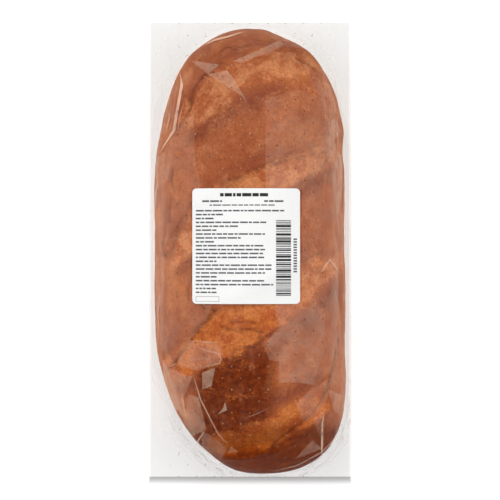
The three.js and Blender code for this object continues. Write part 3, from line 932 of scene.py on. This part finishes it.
shape = bmesh.new()
flat_panel(shape, LABEL_LOW, LABEL_HIGH, (1, 1))
bmesh.ops.bevel(
    shape,
    geom=shape.verts[:],
    affect="VERTICES",
    offset=LABEL_CORNER,
    offset_type="OFFSET",
    segments=8,
    profile=0.5,
    material=-1,
)
for axis in (0, 1):
    for step in range(1, int((LABEL_HIGH[axis] - LABEL_LOW[axis]) / BISECT_STEP)):
        place = Vector((0, 0, 0))
        place[axis] = LABEL_LOW[axis] + step * BISECT_STEP
        normal = Vector((0, 0, 0))
        normal[axis] = 1
        bmesh.ops.bisect_plane(
            shape,
            geom=shape.verts[:] + shape.edges[:] + shape.faces[:],
            dist=1e-6,
            plane_co=place,
            plane_no=normal,
        )
for vert in shape.verts:
    vert.co.z = height_on(pressed, vert.co.x, vert.co.y) + PAPER_LIFT
bmesh.ops.recalc_face_normals(shape, faces=shape.faces[:])
label = new_piece("label_paper", shape, smooth=False)
wall = label.modifiers.new("paper_thickness", "SOLIDIFY")
wall.thickness = PAPER_THICKNESS
wall.offset = 1

paper, tree = new_material("white_label_paper")
spot = add_node(tree, "ShaderNodeTexCoord").outputs["Object"]
fibre = texture(tree, spot, 1500, 3)
tone = mix_colour(tree, remap(tree, fibre, 0.3, 0.7), (0.92, 0.92, 0.91, 1), (0.96, 0.96, 0.95, 1))
paper_bump = add_node(tree, "ShaderNodeBump", {"Strength": 0.15, "Distance": 0.1 * MM, "Height": fibre})
paper_surface = add_node(
    tree,
    "ShaderNodeBsdfPrincipled",
    {"Base Color": tone, "Roughness": 0.6, "Normal": paper_bump.outputs["Normal"], "Specular IOR Level": 0.2},
)
tree.links.new(paper_surface.outputs[0], add_node(tree, "ShaderNodeOutputMaterial").inputs["Surface"])
label.data.materials.append(paper)

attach(label, "root")
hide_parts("label")


# --- Label print --------------------------------------------------------------------------
# The printing is stood for by plain bars: grey bars where lines of words would be, a block
# of black bars across the right side, and an empty box in the lower left corner.
INK_THICKNESS = 0.03 * MM
INK_LIFT = 0.03 * MM
LINE_PITCH = 2.02
LINE_HEIGHT = 0.78
FIRST_LINE = 11.2  # below the label's top edge, as every place of the print is
LINE_COUNT = 22
LEFT_MARGIN = 1.8
random_state = np.random.default_rng(7)


def ink_bar(shape, left, right, top, height):
    """One printed bar. Its places are millimetres from the label's top left corner."""
    low = (LABEL_LOW.x + left * MM, LABEL_HIGH.y - (top + height) * MM)
    high = (LABEL_LOW.x + right * MM, LABEL_HIGH.y - top * MM)
    steps = (max(1, round(right - left)), max(1, round(height)))
    for vert in flat_panel(shape, low, high, steps):
        vert.co.z = height_on(pressed, vert.co.x, vert.co.y) + PAPER_LIFT + PAPER_THICKNESS + INK_LIFT


def ink_words(shape, left, right, top, height):
    """A line of bars of uneven length, with a gap after each, like words."""
    while left < right - 1:
        word = min(random_state.uniform(1.2, 5.0), right - left)
        ink_bar(shape, left, left + word, top, height)
        left += word + 0.55


def new_print(name, shape, shade):
    piece = new_piece(name, shape, smooth=False)
    wall = piece.modifiers.new("ink_thickness", "SOLIDIFY")
    wall.thickness = INK_THICKNESS
    wall.offset = 1
    ink, tree = new_material(name + "_ink")
    spot = add_node(tree, "ShaderNodeTexCoord").outputs["Object"]
    worn = remap(tree, texture(tree, spot, 1800, 2), 0.35, 0.7)
    lighter = tuple(level * 1.7 for level in shade[:3]) + (1,)
    ink_surface = add_node(
        tree,
        "ShaderNodeBsdfPrincipled",
        {"Base Color": mix_colour(tree, worn, shade, lighter), "Roughness": 0.55},
    )
    tree.links.new(ink_surface.outputs[0], add_node(tree, "ShaderNodeOutputMaterial").inputs["Surface"])
    piece.data.materials.append(ink)
    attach(piece, "root")


shape = bmesh.new()
ink_words(shape, 5.2, 15.5, 6.2, 0.9)
ink_words(shape, 37.3, 48.7, 6.2, 0.9)
ink_words(shape, 9, 44, 8.4, 0.6)
for number in range(LINE_COUNT):
    room = 53 if number < 2 else 42  # the lower lines stop short of the block of bars
    line_end = room * random_state.choice((1, 0.95, 0.9, 0.6, 0.3))
    ink_words(shape, LEFT_MARGIN, line_end, FIRST_LINE + number * LINE_PITCH, LINE_HEIGHT)
for mark in range(13):
    ink_bar(shape, 52.6, 54.4, 26 + mark * 1.4, 0.8)
for top in (56.1, 58.6):
    ink_bar(shape, 1.8, 14, top, 0.15)
for left in (1.8, 13.85):
    ink_bar(shape, left, left + 0.15, 56.1, 2.5)
new_print("label_grey_print", shape, (0.075, 0.075, 0.08, 1))

shape = bmesh.new()
ink_words(shape, 14.5, 40, 2.5, 1.7)
bar_top = 16.6
while bar_top < 55.4:
    thickness = random_state.choice((0.4, 0.4, 0.8, 1.2))
    ink_bar(shape, 43.5, 51.3, bar_top, thickness)
    bar_top += thickness + random_state.choice((0.3, 0.3, 0.45, 0.6))
new_print("label_black_print", shape, (0.018, 0.017, 0.018, 1))


# --- Floor and light ----------------------------------------------------------------------
# A white sweep lit from all round. Clear film casts almost no shadow on it, so the thin
# shadow that lies along the folded end is painted on the sweep, and nothing casts it.
SHADE_WIDTH = 5 * MM  # of the painted shadow along the folded end
SHADE_START = -half_length * CAMERA_HEIGHT / (CAMERA_HEIGHT - RIM_Z)

shape = bmesh.new()
flat_panel(shape, (-4, -4), (4, 4), (1, 1))
floor = new_piece("floor", shape)
sweep, tree = new_material("white_sweep")
spot = add_node(tree, "ShaderNodeTexCoord").outputs["Object"]
across_here, along_here = add_node(tree, "ShaderNodeSeparateXYZ", {0: spot}).outputs[:2]
shade = remap(tree, along_here, SHADE_START - SHADE_WIDTH, SHADE_START, 1, 0.44)
beside = remap(tree, math_node(tree, "ABSOLUTE", across_here), half_width - 1 * MM, half_width + 2 * MM, 0, 1)
under_bag = remap(tree, along_here, SHADE_START, SHADE_START + 0.5 * MM)
shade = math_node(tree, "MAXIMUM", shade, math_node(tree, "MAXIMUM", beside, under_bag))
tone = mix_colour(tree, shade, (0, 0, 0, 1), (0.55, 0.55, 0.55, 1))
floor_surface = add_node(tree, "ShaderNodeBsdfDiffuse", {"Color": tone}).outputs[0]
brightness = product(tree, shade, 0.66)
glow = add_node(tree, "ShaderNodeEmission", {"Color": (1, 1, 1, 1), "Strength": brightness}).outputs[0]
floor_sum = add_node(tree, "ShaderNodeAddShader", {0: floor_surface, 1: glow}).outputs[0]
tree.links.new(floor_sum, add_node(tree, "ShaderNodeOutputMaterial").inputs["Surface"])
floor.data.materials.append(sweep)

world = bpy.data.worlds.new("studio")
world.use_nodes = True
world.node_tree.nodes["Background"].inputs["Color"].default_value = (1, 1, 1, 1)
world.node_tree.nodes["Background"].inputs["Strength"].default_value = 0.3
scene.world = world


def soft_light(name, place, size, power):
    data = bpy.data.lights.new(name, "AREA")
    data.shape = "RECTANGLE"
    data.size, data.size_y = size
    data.energy = power
    light = bpy.data.objects.new(name, data)
    light.location = place
    light.rotation_euler = (-Vector(place)).to_track_quat("-Z", "Y").to_euler()
    light.visible_glossy = False
    scene.collection.objects.link(light)


soft_light("overhead_fill", (0, -0.15, 1.9), (1.6, 1.6), 13)
soft_light("mouth_end_key", (-0.2, 1.1, 1.5), (0.6, 0.6), 7)
soft_light("left_box", (-1.2, 0.3, 1.1), (0.5, 1.4), 6)
soft_light("right_box", (1.2, 0.3, 1.1), (0.5, 1.4), 5)

scene.view_settings.view_transform = "Standard"
